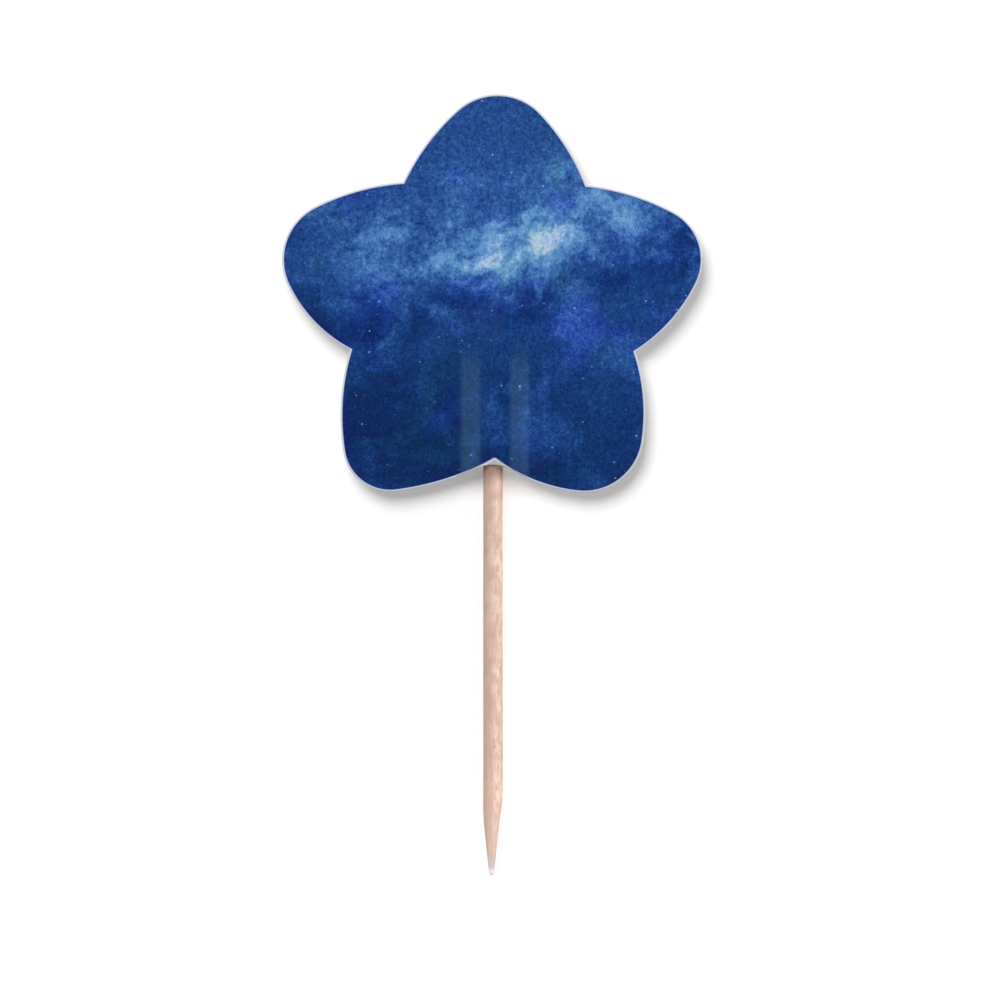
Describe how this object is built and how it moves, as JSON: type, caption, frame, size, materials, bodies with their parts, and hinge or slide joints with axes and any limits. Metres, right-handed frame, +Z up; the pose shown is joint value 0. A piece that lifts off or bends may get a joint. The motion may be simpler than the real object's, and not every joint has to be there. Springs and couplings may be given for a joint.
{
  "type": "flag toothpick",
  "caption": "Party pick: a round pointed wooden toothpick with a soft-lobed star label of glued card round its upper end.",
  "frame": {"origin": "the toothpick's point", "axes": "+Z up along the toothpick towards the star, -Y out of the printed face, +X to the right when looking at the print"},
  "size_m": [0.0431, 0.0028, 0.0801],
  "materials": {
    "birch_wood": "bare turned birch, fine lengthwise grain with small tan and pink mottles",
    "printed_card": "semi-matt printed card, a night sky in deep blue with pale clouds and fine stars",
    "white_card": "plain matt white card",
    "adhesive": "tacky pressure-sensitive coat, pale cream"
  },
  "bodies": {
    "root": {"toothpick": "birch_wood", "front_label": "printed_card", "back_label": "white_card", "front_adhesive": "adhesive", "back_adhesive": "adhesive"}
  },
  "joints": []
}
